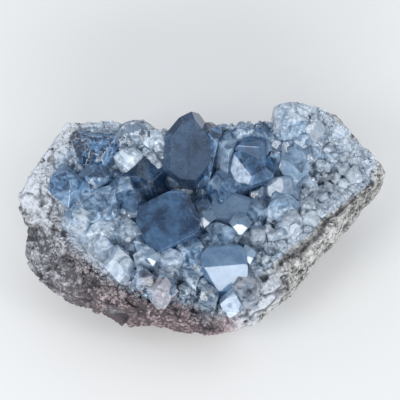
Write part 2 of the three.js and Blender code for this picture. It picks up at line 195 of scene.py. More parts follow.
def hollow(x, y):
    # height of the hollow: from its floor up to the rim, as the 1.7th power of the way out
    dx = x - rockMiddle[0]
    dy = y - rockMiddle[1]
    radius, height, _ = rimAt(np.arctan2(dy, dx))
    share = np.clip(np.hypot(dx, dy) / radius / 0.9, 0, 1)
    return rockForm["floor"] + (height - rockForm["floor"]) * share ** 1.7


def blockAt(bearing, slope):
    # rounded back, steep wall up to the rim, and the hollow; slope runs from straight down to straight up
    radius, _, _ = rimAt(bearing)
    wall = np.clip(slope / deg / rockForm["wall"], 0, 1)
    inwards = np.clip((slope / deg - rockForm["wall"]) / (90 - rockForm["wall"]), 0, 1)
    below = np.maximum(0, np.cos(np.minimum(0, slope))) ** rockForm["round"]
    out = radius * below * (1 - rockForm["tuck"] * wall ** 2) * (1 - inwards ** 1.3)
    x = rockMiddle[0] + out * np.cos(bearing)
    y = rockMiddle[1] + out * np.sin(bearing)
    waist = rockForm["waist"]
    z = np.where(slope < 0, waist * (1 + np.sin(slope)), waist + (hollow(x, y) - waist) * wall ** 0.8)
    return np.stack([x, y, z - rockForm["drop"]], axis=-1)


def rockSkin(bearing, slope):
    # the block with its lumps, pushed back to its flat breaks
    outwards = directionOf(bearing, slope)
    points = blockAt(bearing, slope)
    rough = 1 - rockForm["calm"] * smooth(50, 80, -slope / deg)
    points = points + outwards * (lumps(points) * rough)[..., None]
    turns, rises = np.meshgrid(np.arange(72) * 5 * deg, np.arange(-6, 7) * 15 * deg, indexing="ij")
    coarse = blockAt(turns, rises)
    for side, rise, depth in rockForm["breaks"]:
        normal = directionOf(np.array(side * deg), rise * deg)
        reach = (coarse @ normal).max() - depth
        over = np.maximum(0, points @ normal - reach)
        points = points - (rockForm["sheer"] * over)[..., None] * normal
    return points


# the rock is a grid of rings from the resting face to the middle of the hollow, with granular relief
rockLook = {
    "sectors": 600,
    "rings": (35, 50, 34, 38),  # under the waist, wall, rim, hollow
    "chip": 2.7, "chipHeight": 1.05,  # broken grains that stand out or are missing
    "grain": 1.25, "grainHeight": 0.4,
    "knob": 9.0, "knobHeight": 1.6,
    "crack": 7.0, "crackDepth": 1.3, "crackWidth": 0.06,
    "ledgeDepth": 1.3, "bedRise": 0.5,
}


def rockZones(form, slope):
    # how much each place on the rock belongs to the bed under the crystals, to the smooth flank on the
    # right, and so on, from 0 to 1
    bearing, share = bedShare(form[..., 0], form[..., 1])
    bearing = bearing / deg
    height = form[..., 2]
    wobble = 0.12 * (softNoise(form, 5.0, 23) - 0.5)
    share = share + wobble
    inside = smooth(36, 40, slope)
    bed = inside * smooth(1.06, 0.96, share)
    crust = arc(bearing, -85, -70, -48, -30)  # a white crust inside the flank
    crust = crust * smooth(1.0, 1.04, share) * smooth(1.34, 1.2, share + wobble)
    flank = arc(bearing, -80, -60, 22, 40) * smooth(1.0, 1.06, share) * (1 - crust)
    # a groove just outside the crystals' reach, painted dark: partly a dark seam in the rock, partly painted
    # shade in the crevice
    ledge = arc(bearing, -62, -50, 4, 16) * np.exp(-((share + 0.2 * wobble - 1.1) / 0.04) ** 2) * inside
    ledge = ledge * (0.3 + 0.7 * smooth(-44, -26, bearing))
    rosy = arc(bearing, -165, -130, -80, -66) * smooth(34, 22, height)
    rosy = rosy * smooth(0.1, 0.4, softNoise(form, 8.0, 53))
    # darker rock and painted shade on the front left
    around = -np.mod(-bearing, 360)  # from 0 to -360
    darkAndShaded = smooth(-60, -95, around) * smooth(-205, -146, around + 24 * (softNoise(form, 4.0, 61) - 0.5))
    # whiter rock and painted light on the left rim, stronger where it faces up; the white crust inside the
    # flank is the rock's own colour
    whiteAndLit = smooth(100, 125, np.abs(bearing)) * smooth(-14, 14, form[..., 1]) * smooth(24, 30, height)
    whiteAndLit = np.maximum(whiteAndLit * (0.25 + 0.75 * smooth(15, 34, slope)), crust)
    sugar = inside * smooth(1.35, 1.15, share) * smooth(0.02, 0.3, whiteAndLit + bed)
    return {"bed": bed, "flank": flank, "ledge": ledge, "rosy": rosy, "darkAndShaded": darkAndShaded, "whiteAndLit": whiteAndLit,
            "sugar": sugar}


def rockRelief(look, form, zones):
    # how far each place stands out: broken grains, fine grains and knobs, less the cracks and pits. The
    # zones get the pits and the darker places between the grains too
    near, _, chip = cellNoise(form, look["chip"], 3)
    nearFine, _, _ = cellNoise(form, look["grain"], 11)
    knobs = softNoise(form, look["knob"], 7) - 0.5
    level = 0.75 * softNoise(form, look["crack"], 19) + 0.25 * softNoise(form, look["crack"] / 3, 29)
    pits = smooth(look["crackWidth"], 0, np.abs(level - 0.5)) * smooth(0.4, 0.6, softNoise(form, 12.0, 37))
    pits = np.maximum(pits, smooth(0.78, 0.84, softNoise(form, 3.0, 43)))
    relief = (look["chipHeight"] * (chip - 0.5) * smooth(0.95, 0.45, near)
              + look["grainHeight"] * (smooth(0.8, 0.1, nearFine) - 0.5)
              + look["knobHeight"] * knobs - look["crackDepth"] * pits)
    resting = smooth(1.0, 3.0, form[..., 2])  # worn smooth where it lies
    relief = relief * (0.15 + 0.85 * resting) * (1 - 0.35 * zones["flank"])
    zones["pit"] = pits
    zones["crumb"] = 0.4 * smooth(0.5, 0.9, near) + 0.35 * (0.5 - chip)
    return relief - look["ledgeDepth"] * zones["ledge"] + look["bedRise"] * zones["bed"]


def makeRock(look):
    slopes = np.concatenate([
        np.linspace(-90, -30, look["rings"][0], endpoint=False),
        np.linspace(-30, 36, look["rings"][1], endpoint=False),
        np.linspace(36, 56, look["rings"][2], endpoint=False),
        np.linspace(56, 90, look["rings"][3]),
    ]) * deg
    sectors = look["sectors"]
    slope, bearing = np.meshgrid(slopes, np.arange(sectors) * 2 * math.pi / sectors, indexing="ij")
    form = rockSkin(bearing, slope)
    across = np.roll(form, -1, axis=1) - np.roll(form, 1, axis=1)
    along = np.gradient(form, axis=0)
    normal = np.cross(across, along)
    length = np.linalg.norm(normal, axis=-1, keepdims=True)
    normal = np.where(length > 1e-9, normal / np.maximum(length, 1e-9), [0, 0, 1])
    normal[0] = (0, 0, -1)
    normal[-1] = (0, 0, 1)
    zones = rockZones(form, slope / deg)
    points = form + normal * rockRelief(look, form, zones)[..., None]
    points[..., 2] = np.maximum(points[..., 2], 0)
    points[0] = points[0].mean(axis=0)
    points[-1] = points[-1].mean(axis=0)

    rings = len(slopes)
    at = np.arange(rings * sectors).reshape(rings, sectors)
    right = np.roll(at, -1, axis=1)
    quads = np.stack([at[:-1], right[:-1], right[1:], at[1:]], axis=-1)[1:-1].reshape(-1, 4)
    foot = np.stack([np.full(sectors, at[0, 0]), right[1], at[1]], axis=-1)
    top = np.stack([at[-2], right[-2], np.full(sectors, at[-1, 0])], axis=-1)
    loops = np.concatenate([quads.ravel(), foot.ravel(), top.ravel()])
    sizes = np.concatenate([np.full(len(quads), 4), np.full(2 * sectors, 3)])
    used, loops = np.unique(loops, return_inverse=True)
    starts = np.concatenate([[0], np.cumsum(sizes)[:-1]])
    rock = makeObject("rock", points.reshape(-1, 3)[used], loops, starts)
    for name, values in zones.items():
        addValues(rock.data, name, values.reshape(-1)[used])
    return rock


# the crystals have the same rows, faces and scatter as the solids, and smaller ones between them
habit = {
    "prism": 38, "cut": 0.86, "root": 4.4, "full": 9.5, "lean": 30,
    "worn": 0.15,  # width of the worn edges, whose faces are painted paler as a highlight
    "chips": 7, "chip": 0.2, "fillChip": 0.55,  # how many corners are chipped off, and how deep
}
bed = {"west": -62, "east": 62, "south": -34, "north": 36, "share": 0.92, "lobe": 0.62}

# x and y where the axis leaves the bed, width, thickness, length, bearing and rise of the axis, turn,
# roof and hip slopes, blunt share
showCrystals = {
    "tall": (-7, 11, 19, 10, 38, 84, 42, 3, 46, 30, 0.04),
    "twin": (0.4, 20, 8, 7, 20, 74, 46, 8, 40, 34, 0.1),
    "heart": (-11, 0, 21, 18, 14, 250, 76, 24, 12, 10, 0.1),
    "dusk": (-18.5, 12, 14, 11, 16, 120, 55, -22, 42, 30, 0.1),
    "mirror": (7, -18, 15, 14, 13, 90, 82, 4, 24, 30, 0.3),
    "dome": (16, 20, 15, 12, 12, 300, 72, 26, 34, 30, 0.2),
    "block": (18, 21, 11, 10, 14, 100, 60, -14, 30, 38, 0.14),
    "cube": (8, 23, 8, 8, 11, 85, 62, 4, 18, 24, 0.1),
    "boulder": (30, 32.5, 12, 11, 9, 100, 60, 20, 40, 38, 0.16),
    "cap": (15, 28, 10, 7, 9, 90, 52, 0, 44, 30, 0.2),
    "cornice": (-37, 25.5, 16, 12, 11, 120, 64, 58, 30, 26, 0.2),
    "ledge": (-37, 17, 12, 8, 10, 240, 60, 30, 44, 34, 0.12),
    "pillar": (-46, 13, 8, 9, 9, 200, 52, 0, 30, 30, 0.24),
    "clear": (28, 15, 12, 9, 9, 300, 62, 12, 40, 34, 0.16),
    "slab": (10, 8, 13, 12, 11, 260, 68, -20, 28, 36, 0.26),
    "left": (9, 14, 12, 11, 11, 200, 62, 40, 36, 34, 0.14),
    "bright": (13.1, 1.2, 6, 5, 8.5, 270, 75, 0, 20, 33.5, 0.02),
    "steps": (1.2, 4, 3.6, 5.5, 8.5, 270, 75, -8, 20, 33.5, 0.02),
    "green": (7.5, -3, 7, 6, 8, 270, 64, 30, 34, 36, 0.14),
    "tooth": (-29.5, -14.5, 8, 6, 9, 300, 50, 14, 46, 36, 0.04),
    "iceLeft": (-19, -12, 8, 7, 9, 270, 60, -18, 34, 40, 0.12),
    "iceRight": (-13, -12.5, 8, 7, 9, 300, 58, 34, 36, 42, 0.1),
    "ash": (-4, -9, 9, 8, 9, 270, 64, 8, 30, 30, 0.2),
    "olive": (-20, -20, 7, 6, 7, 280, 46, 22, 30, 30, 0.2),
    "mauve": (-14, -23.5, 8, 7, 7.5, 270, 44, 0, 36, 34, 0.24),
    "toe": (9.5, -27, 6, 5, 7, 272, 43, -6, 34, 34, 0.34),
    "heel": (14, -23, 9, 7, 6.5, 300, 52, 26, 34, 34, 0.2),
    "foot": (-13, -17, 9, 6, 7, 270, 54, 4, 40, 30, 0.16),
    "glass": (-27, 12, 9, 9, 10, 160, 58, -30, 36, 30, 0.16),
    "wedge": (-26, 10, 8, 7, 9, 320, 60, 44, 42, 34, 0.08),
    "pool": (-36, 6.5, 14, 12, 8, 255, 76, 10, 22, 24, 0.22),
    "frost": (-43, 1.5, 8, 7, 8, 240, 60, 16, 38, 40, 0.1),
    "rime": (-35, -2.5, 9, 8, 8, 270, 62, -24, 36, 42, 0.1),
    "lilac": (-35, -8, 8, 8, 7, 260, 56, 0, 30, 30, 0.24),
    "peak": (31, 24, 8, 8, 9, 60, 58, 24, 36, 34, 0.1),
    "stump": (32.5, 21, 9, 7, 7, 270, 62, -8, 26, 28, 0.28),
    "knuckle": (27.5, 7, 9, 8, 8, 280, 64, 20, 34, 34, 0.2),
    "gable": (0.5, 6, 8, 7, 9, 90, 62, -12, 38, 34, 0.1),
    "spur": (19.5, 27, 7, 6, 9, 40, 60, 10, 36, 34, 0.12),
    "shard": (-20, -6, 8, 6, 8, 220, 60, 28, 42, 36, 0.06),
    "brow": (-25.5, 31, 14, 8, 4.5, 110, 56, 20, 30, 40, 0.2),
    "leaf": (-32.8, 21, 3.4, 2.4, 8.5, 90, 60, 0, 55, 30, 0.02),
    "fleck": (15.2, -10.8, 4, 4, 7.5, 270, 75, 10, 20, 33.5, 0.02),
    "glint": (-17.4, -12.5, 2.4, 5, 9.5, 270, 75, 0, 20, 33.5, 0.02),
}

# more faces on some of them: bearing and rise about the crystal's own axis, and distance from its base
moreFaces = {
    "tall": [(140, 50, 24.2), (165, 35, 20.3), (342, 38, 21), (224, 23, 17), (253, 48, 26.2), (329, 12, 13.1),
             (270, -50, -3.7), (225, -45, -2.8), (325, -30, 0.2)],
    "mirror": [(270, 33.5, 6.2), (218, -3, 5.9)],
    "boulder": [(225, 46, 7), (315, 48, 7.1), (45, 46, 7.2)],
}

# how many places are tried, width at the middle of the bed and at its edge, how close two may stand,
# and how high above the bed they start
fills = [
    {"tries": 500, "middle": 8.4, "edge": 6, "pack": 0.42, "lift": 0},
    {"tries": 700, "middle": 6, "edge": 4.8, "pack": 0.47, "lift": 0},
    {"tries": 2500, "middle": 4.8, "edge": 4.0, "pack": 0.4, "lift": 1.4},
    {"tries": 3000, "middle": 3.4, "edge": 3.0, "pack": 0.4, "lift": 1.6},
]

# a few small ones in front of the boulder, in the same columns, and how high above the bed they start
smallCrystals = [
    (25.5, 27.5, 5.5, 4.5, 6, 280, 66, 20, 34, 36, 0.1, 0),
    (30, 27, 6, 5, 6, 250, 62, -16, 40, 34, 0.1, 0),
    (34.5, 28.5, 5.5, 5, 6, 300, 60, 34, 36, 40, 0.1, 0),
    (38.5, 30.5, 6, 5, 6.5, 290, 58, 6, 32, 36, 0.14, 0),
    (36, 25, 4.5, 4, 5, 250, 66, 30, 38, 34, 0.1, 0),
    (28, 30, 4.5, 4, 6.5, 270, 60, -30, 36, 38, 0.1, 0),
]


def scatter(rows):
    # a place is kept if it is on the bed and clear of those kept before it
    x, y, width, thickness = [list(column) for column in np.array(rows, dtype=float).T[:4]]
    reachOf = [(a + b) / 2 for a, b in zip(width, thickness)]
    kept = []
    seed = 100
    for fill in fills:
        seeds = seed + 1 + np.arange(fill["tries"])
        seed += fill["tries"]
        px = bed["west"] + (bed["east"] - bed["west"]) * hashOf(seeds, 1)
        py = bed["south"] + (bed["north"] - bed["south"]) * hashOf(seeds, 2)
        _, share = bedShare(px, py)
        fine = 1 + (bed["lobe"] - 1) * smooth(26, 38, px)
        size = (fill["middle"] + (fill["edge"] - fill["middle"]) * share ** 2) * fine
        size = size * (0.8 + 0.4 * hashOf(seeds, 3))
        slopeX = (hollow(px + 1, py) - hollow(px - 1, py)) / 2
        slopeY = (hollow(px, py + 1) - hollow(px, py - 1)) / 2
        lean = np.tan(habit["lean"] * deg * np.sqrt(hashOf(seeds, 4)))
        way = 2 * math.pi * hashOf(seeds, 5)
        axis = unit(np.stack([lean * np.cos(way) - slopeX, lean * np.sin(way) - slopeY,
                              np.ones_like(px)], axis=-1))
        made = np.stack([
            px, py, size, size * (0.7 + 0.25 * hashOf(seeds, 7)), size * (0.75 + 0.5 * hashOf(seeds, 6)),
            np.arctan2(axis[:, 1], axis[:, 0]) / deg, np.arcsin(axis[:, 2]) / deg,
            360 * hashOf(seeds, 11), 30 + 16 * hashOf(seeds, 8), 28 + 16 * hashOf(seeds, 9),
            0.06 + 0.2 * hashOf(seeds, 10), fill["lift"] * (1 - share)], axis=-1)
        for i in np.flatnonzero(share <= bed["share"]):
            apart = np.hypot(np.array(x) - px[i], np.array(y) - py[i])
            if (apart < fill["pack"] * (size[i] + np.array(reachOf))).any():
                continue
            x.append(px[i])
            y.append(py[i])
            reachOf.append((made[i, 2] + made[i, 3]) / 2)
            kept.append((made[i], seeds[i]))
    return kept


def facesOf(rows, seeds, more, root):
    # each crystal's faces about its own axis, as bearings, rises and distances: roof, hip, blunt tip,
    # base, rhombic prism, and on the larger ones the cut-off corners of the section
    width, thickness, length, roof, hip, blunt = rows.T[[2, 3, 4, 8, 9, 10]]
    far = 1e3

    def vary(k, share):
        return 1 + share * (2 * hashOf(seeds, k) - 1)

    turn = habit["prism"]
    prism = habit["cut"] * (width * math.cos(turn * deg) + thickness * math.sin(turn * deg)) / 2
    zero = np.zeros_like(width)
    full = width > habit["full"]
    faces = [
        (zero, 90 - roof, length * np.cos(roof * deg) * vary(5, 0.08)),
        (zero + 180, 90 - roof, length * np.cos(roof * deg) * vary(6, 0.08)),
        (zero + 90, 90 - hip, length * np.cos(hip * deg) * vary(7, 0.08)),
        (zero + 270, 90 - hip, length * np.cos(hip * deg) * vary(8, 0.08)),
        (360 * hashOf(seeds, 9), 90 - 7 * hashOf(seeds, 10), length * (1 - blunt)),
        (zero, zero - 90, zero + root),
        (zero, zero, np.where(full, width / 2 * vary(1, 0.12), far)),
        (zero + 180, zero, np.where(full, width / 2 * vary(2, 0.12), far)),
        (zero + 90, zero, np.where(full, thickness / 2 * vary(3, 0.12), far)),
        (zero + 270, zero, np.where(full, thickness / 2 * vary(4, 0.12), far)),
    ]
    for bearing in (turn, 180 - turn, 180 + turn, 360 - turn):
        faces.append((zero + bearing, zero, prism * vary(11 + bearing, 0.1)))
    faces += list(more)
    bearings, rises, reaches = [np.stack(column, axis=-1) for column in zip(*faces)]
    return directionOf(bearings * deg, rises * deg), reaches


def polyhedra(normals, reaches):
    # corners: every point where three faces meet and no other face cuts it off. Rings: each face's
    # corners in order of their angle round its normal
    count = reaches.shape[1]
    threes = np.array(list(combinations(range(count), 3)))
    n1, n2, n3 = [normals[:, threes[:, k]] for k in range(3)]
    r1, r2, r3 = [reaches[:, threes[:, k], None] for k in range(3)]
    volume = dotOf(n1, np.cross(n2, n3))
    real = np.abs(volume) > 1e-6
    volume = np.where(real, volume, 1)
    corners = (r1 * np.cross(n2, n3) + r2 * np.cross(n3, n1) + r3 * np.cross(n1, n2)) / volume[..., None]
    member = np.zeros((len(threes), count), dtype=bool)
    member[np.arange(len(threes))[:, None], threes] = True
    depth = np.einsum("ntc,nfc->ntf", corners, normals)
    real &= ((depth < reaches[:, None, :]) | member).all(axis=-1)
    touching = np.stack([np.flatnonzero(member[:, face]) for face in range(count)])
    spots = corners[:, touching]
    there = real[:, touching]
    weight = np.maximum(there.sum(axis=-1), 1)[..., None]
    middle = np.where(there[..., None], spots, 0).sum(axis=2) / weight
    aside = np.cross(normals, np.where(np.abs(normals[..., :1]) < 0.8, [1.0, 0, 0], [0, 1.0, 0]))
    over = np.cross(normals, aside)
    offset = spots - middle[:, :, None]
    angle = np.arctan2(dotOf(offset, over[:, :, None]), dotOf(offset, aside[:, :, None]))
    order = np.argsort(np.where(there, angle, 99), axis=-1)
    ring = np.take_along_axis(np.broadcast_to(touching, there.shape), order, axis=-1)
    there = np.take_along_axis(there, order, axis=-1)
    return corners, ring, there


def chipped(normals, reaches, seeds, count, depth):
    # more faces, each of which takes off the crystal's farthest corner on its side
    corners, ring, there = polyhedra(normals, reaches)
    everyone = np.arange(len(seeds))[:, None]
    spots = np.where(there[..., None], corners[everyone[..., None], ring], 0).reshape(len(seeds), -1, 3)
    for k in range(count):
        way = directionOf(2 * math.pi * hashOf(seeds, 61 + k), np.arcsin(hashOf(seeds, 71 + k) ** 0.7))
        farthest = np.einsum("npc,nc->np", spots, way).max(axis=-1)
        cut = farthest - depth * (0.25 + 0.75 * hashOf(seeds, 81 + k))
        normals = np.concatenate([normals, way[:, None]], axis=1)
        reaches = np.concatenate([reaches, cut[:, None]], axis=1)
    return normals, reaches


def crystalMesh(rows, seeds, bases, axes, root, more=(), chips=0, chipDepth=0.0):
    # joins the corners of all the crystals in one list, with each face's crystal
    normals, reaches = facesOf(rows, seeds, more, root)
    if chips:
        normals, reaches = chipped(normals, reaches, seeds, chips, chipDepth)
    corners, ring, there = polyhedra(normals, reaches)
    back = unit(np.array([0.0, 1.0, 0.0]) - axes * axes[:, 1:2])
    side = np.cross(back, axes)
    spin = rows[:, 7:8] * deg
    across = side * np.cos(spin) + back * np.sin(spin)
    through = np.cross(axes, across)
    points = (bases[:, None] + corners[..., :1] * across[:, None] + corners[..., 1:2] * through[:, None]
              + corners[..., 2:] * axes[:, None])
    there = there & (there.sum(axis=-1, keepdims=True) >= 3)
    sizes = there.sum(axis=-1)
    number = ring + (np.arange(len(rows)) * corners.shape[1])[:, None, None]
    used, loops = np.unique(number[there], return_inverse=True)
    owner, facet = np.nonzero(sizes)
    sizes = sizes[sizes > 0]
    starts = np.concatenate([[0], np.cumsum(sizes)[:-1]])
    return points.reshape(-1, 3)[used], loops, starts, owner, facet


# how blue each of the large crystals is, how clear, and how broken its surface, from 0 to 1
shades = {
    "tall": (0.9, 0.56, 0), "twin": (0.88, 0.3, 0.2), "heart": (0.93, 0.2, 0.02),
    # dusk's tone of 1, the deepest, is partly painted shade for the dark shaded side it stands for
    "dusk": (1.0, 0.4, 0.05), "mirror": (0.64, 0.25, 0), "dome": (0.78, 0.4, 0.12),
    "block": (0.86, 0.4, 0), "cube": (0.42, 0.45, 0.15), "boulder": (0.2, 0.4, 0.8),
    "cap": (0.62, 0.4, 0.2), "cornice": (0.92, 0.12, 1.0), "ledge": (0.78, 0.4, 0.25),
    "pillar": (0.7, 0.25, 0.15), "clear": (0.3, 0.55, 0.1), "slab": (0.6, 0.55, 0),
    "left": (0.66, 0.5, 0.15), "tooth": (0.14, 0.3, 0.2), "iceLeft": (0.22, 0.35, 0.35),
    "iceRight": (0.25, 0.35, 0.35), "olive": (0.8, 0.3, 0.3), "mauve": (0.3, 0.3, 0.35),
    "glass": (0.6, 0.5, 0.25), "wedge": (0.72, 0.5, 0.1), "pool": (0.36, 0.4, 0.45),
    "frost": (0.22, 0.3, 0.4), "rime": (0.24, 0.3, 0.4), "lilac": (0.25, 0.4, 0.35),
    "ash": (0.5, 0.5, 0.35), "bright": (0.5, 0.5, 0.05), "steps": (0.5, 0.5, 0.05),
    "toe": (0.3, 0.4, 0.1), "brow": (0.45, 0.7, 0.2), "leaf": (0.0, 0.2, 0.3), "fleck": (0.4, 0.4, 0),
    "glint": (0.4, 0.4, 0), "gable": (0.85, 0.4, 0.1), "shard": (0.5, 0.4, 0.3),
    "knuckle": (0.4, 0.4, 0.3), "spur": (0.66, 0.4, 0.2),
}
plainShade = (0.5, 0.5, 0.3)
paintedFlashes = ("bright", "steps", "fleck", "glint", "toe")  # small ones whose front face, turned to the window, is painted paler as a highlight
tinted = {"mauve": 0.8, "lilac": 0.15, "heel": 0.4, "foot": 0.15, "olive": 0.3}  # how lilac some are


def layersOf(middles, spans):
    # sorts the crystals into layers in which no two touch, so that layers can be joined one to another
    apart = np.linalg.norm(middles[:, None] - middles[None], axis=-1)
    meets = apart < spans[:, None] + spans[None]
    layer = np.full(len(middles), -1)
    for i in range(len(middles)):
        taken = set(layer[meets[i]])
        layer[i] = next(k for k in range(len(middles)) if k not in taken)
    return layer


def makeLayer(name, table, seeds, bases, axes, extra, rough, mine):
    # one layer of crystals as a mesh of its own, with each face's crystal and number written on it
    depth = habit["chip"] * rough[mine] * table[mine, 2]
    points, loops, starts, owner, facet = crystalMesh(
        table[mine], seeds[mine], bases[mine], axes[mine], habit["root"], extra, habit["chips"], depth)
    layer = makeObject(name, points, loops, starts)
    layer.data.materials.append(None)
    layer.data.materials.append(None)
    addValues(layer.data, "crystal", mine[owner], "FACE")
    addValues(layer.data, "facet", facet, "FACE")
    worn = layer.modifiers.new("worn edges", "BEVEL")
    worn.width = habit["worn"] * mm
    worn.segments = 1
    worn.limit_method = "ANGLE"
    worn.angle_limit = 15 * deg
    worn.use_clamp_overlap = False
    worn.material = 1  # marks the worn edges, whose faces get a painted highlight, until they are written down as an attribute
    return layer


def joinLayers(layers):
    # the layers grown together into one closed mesh
    whole = layers[0]
    for layer in layers[1:]:
        join = whole.modifiers.new("join", "BOOLEAN")
        join.operation = "UNION"
        join.solver = "MANIFOLD"
        join.object = layer
    mesh = bpy.data.meshes.new_from_object(whole.evaluated_get(bpy.context.evaluated_depsgraph_get()))
    for layer in layers:
        bpy.data.objects.remove(layer)
    mesh.name = "crystals"
    edge = np.empty(len(mesh.polygons), dtype=np.int32)
    mesh.polygons.foreach_get("material_index", edge)
    addValues(mesh, "edge", edge, "FACE")
    mesh.polygons.foreach_set("material_index", np.zeros(len(edge), dtype=np.int32))
    mesh.materials.clear()
    mesh.polygons.foreach_set("use_smooth", np.zeros(len(mesh.polygons), dtype=bool))
    crystals = bpy.data.objects.new("crystals", mesh)
    bpy.context.scene.collection.objects.link(crystals)
    return crystals


def makeCrystals():
    rows = [np.array(row + (0,), dtype=float) for row in showCrystals.values()]
    grown = [(row, i + 1) for i, row in enumerate(rows)] + scatter(rows)
    grown += [(np.array(row, dtype=float), 9000 + i) for i, row in enumerate(smallCrystals)]
    table = np.stack([row for row, _ in grown])
    seeds = np.array([seed for _, seed in grown], dtype=float)
    bases = np.stack([table[:, 0], table[:, 1], hollow(table[:, 0], table[:, 1]) + table[:, 11]], axis=-1)
    axes = directionOf(table[:, 5] * deg, table[:, 6] * deg)
    middles = bases + axes * (table[:, 4:5] - habit["root"]) / 2
    spans = np.hypot((table[:, 4] + habit["root"]) / 2, table[:, 2] / 2)
    order = layersOf(middles, spans)
    print(len(table), "crystals in", order.max() + 1, "layers")
    slots = max(len(faces) for faces in moreFaces.values())
    more = np.tile([0.0, 0.0, 1e3], (len(table), slots, 1))
    for i, name in enumerate(showCrystals):
        for k, face in enumerate(moreFaces.get(name, ())):
            more[i, k] = face
    rough = np.array([shades.get(name, plainShade)[2] for name in showCrystals])
    rough = np.where(rough > 0, 0.15 + 0.85 * rough, -1)  # a negative depth leaves a crystal whole
    rough = np.concatenate([rough, np.full(len(table) - len(rough), habit["fillChip"])])
    layers = []
    for k in range(order.max() + 1):
        mine = np.flatnonzero(order == k)
        extra = [tuple(more[mine, slot].T) for slot in range(slots)] if more[mine, 0, 2].min() < 1e3 else ()
        layers.append(makeLayer(f"layer{k}", table, seeds, bases, axes, extra, rough, mine))
    return joinLayers(layers), table, seeds


def shadeCrystals(crystals, rows, seeds):
    # each crystal's blueness, clearness and brokenness, written on its faces
    left = smooth(-14, -34, rows[:, 0])
    low = smooth(-2, -16, rows[:, 1] - 0.5 * rows[:, 0])
    lip = smooth(-12, -20, rows[:, 1] - 0.8 * rows[:, 0]) * smooth(4, 14, rows[:, 0])
    lip = smooth(26, 38, rows[:, 0]) + lip
    wave = softNoise(rows[:, :3] * [1, 1, 0], 12.0, 31) - 0.5
    sugar = smooth(-33, -29, rows[:, 0]) * smooth(-12, -16, rows[:, 0]) * smooth(19, 23, rows[:, 1])
    tone = 0.5 + 0.4 * wave + 0.25 * (hashOf(seeds, 21) - 0.5)
    tone = tone - 0.38 * left - 0.5 * sugar - 0.32 * lip - 0.2 * low
    clear = 0.36 + 0.28 * hashOf(seeds, 22) - 0.2 * left - 0.3 * sugar
    broken = 0.1 + 0.3 * hashOf(seeds, 23) + 0.12 * np.maximum(left, low) + 0.4 * sugar
    for i, name in enumerate(showCrystals):
        if name in shades:
            tone[i], clear[i], broken[i] = shades[name]
    owner = faceValues(crystals.data, "crystal").astype(int)
    facet = faceValues(crystals.data, "facet")
    own = hashOf(16.0 * owner + facet, 33) - 0.5  # the faces of one crystal differ a little
    cut = ((facet == 17) | (facet == 18)) * (owner == 0)  # painted shade: the bevel of the tallest is given a deeper, less clear colour
    # painted highlight: these front faces are paler and less clear
    lit = (facet == 3) * np.isin(owner, [i for i, name in enumerate(showCrystals) if name in paintedFlashes])
    lively = 0.12 + 0.25 * smooth(0.0, 0.4, broken[owner])
    tone = tone[owner] + lively * own + 0.2 * cut - 0.5 * lit
    clear = clear[owner] + 0.6 * lively * (hashOf(16.0 * owner + facet, 35) - 0.5) - 0.3 * (cut + lit)
    spread = 0.3 * smooth(0.0, 0.25, broken[owner])
    broken = broken[owner] + spread * (hashOf(16.0 * owner + facet, 34) - 0.5)
    warm = np.zeros(len(rows))
    warm[:len(showCrystals)] = [tinted.get(name, 0) for name in showCrystals]
    for name, values in (("tone", tone), ("clear", clear), ("broken", broken), ("warm", warm[owner])):
        addValues(crystals.data, name, np.clip(values, 0, 1), "FACE")


druseForm = {
    "onRock": 6600, "onCrystals": 500,
    "least": 0.55, "most": 1.45,  # width of a grain
    "sunk": 0.55,  # how deep a grain starts, as a share of its width
    "grown": 1.9,  # width of the largest that grow on the milky crystals
    # of the crystals that stand out, those that grains grow on
    "frosted": ("frost", "rime", "ash", "olive", "mauve", "heel", "foot", "brow", "cap", "spur"),
}


def trianglesOf(mesh):
    mesh.calc_loop_triangles()
    count = len(mesh.loop_triangles)
    corners = np.empty(count * 3, dtype=np.int32)
    mesh.loop_triangles.foreach_get("vertices", corners)
    polygon = np.empty(count, dtype=np.int32)
    mesh.loop_triangles.foreach_get("polygon_index", polygon)
    points = np.empty(len(mesh.vertices) * 3, dtype=np.float32)
    mesh.vertices.foreach_get("co", points)
    points = points.reshape(-1, 3) / mm + planMiddle
    return points[corners.reshape(-1, 3)], polygon


def pickOn(triangles, weights, count, rng):
    # random places on triangles, as often as their weights say
    normal = np.cross(triangles[:, 1] - triangles[:, 0], triangles[:, 2] - triangles[:, 0])
    chance = np.cumsum(weights * np.linalg.norm(normal, axis=-1))
    which = np.searchsorted(chance, rng.random(count) * chance[-1])
    u, v = rng.random((2, count, 1))
    over = u + v > 1
    u, v = np.where(over, 1 - u, u), np.where(over, 1 - v, v)
    a, b, c = [triangles[which, k] for k in range(3)]
    return a + u * (b - a) + v * (c - a), unit(normal[which]), which


def lieOf(triangles):
    # the middles of triangles, and how far each faces up
    normal = np.cross(triangles[:, 1] - triangles[:, 0], triangles[:, 2] - triangles[:, 0])
    return triangles.mean(axis=1), unit(normal + 1e-12)[:, 2]


def rimGrains(form, rock, rng):
    # places, ways out and sizes of the grains on the rock, how near the rim each is, and how rosy
    triangles, _ = trianglesOf(rock.data)
    middle, facing = lieOf(triangles)
    turn, share = bedShare(middle[:, 0], middle[:, 1])
    bearing = turn / deg
    wide = arc(np.mod(bearing + 90, 360) - 90, 35, 60, 110, 135)
    front = arc(bearing, -178, -155, -76, -62)
    shelf = arc(bearing, -70, -60, 10, 20)
    band = smooth(1.06 + 0.2 * wide + 0.22 * front - 0.05 * shelf, 0.98, share)
    onTop = smooth(0.35, 0.7, facing) * (middle[:, 2] > 18)
    often = 0.1 + 0.8 * smooth(0.8, 0.95, share) + 0.7 * smooth(24, 34, middle[:, 0])
    often = often + 1.4 * front * smooth(0.9, 1.0, share)
    places, ways, which = pickOn(triangles, onTop * band * often, form["onRock"], rng)
    size = form["least"] + (form["most"] - form["least"]) * rng.random(form["onRock"]) ** 1.8
    size = size * (1 - 0.35 * smooth(0.95, 1.1, share[which]))
    edge = smooth(0.85, 1.05, share[which])
    return places, ways, size, edge, front[which] * smooth(0.96, 1.14, share[which])


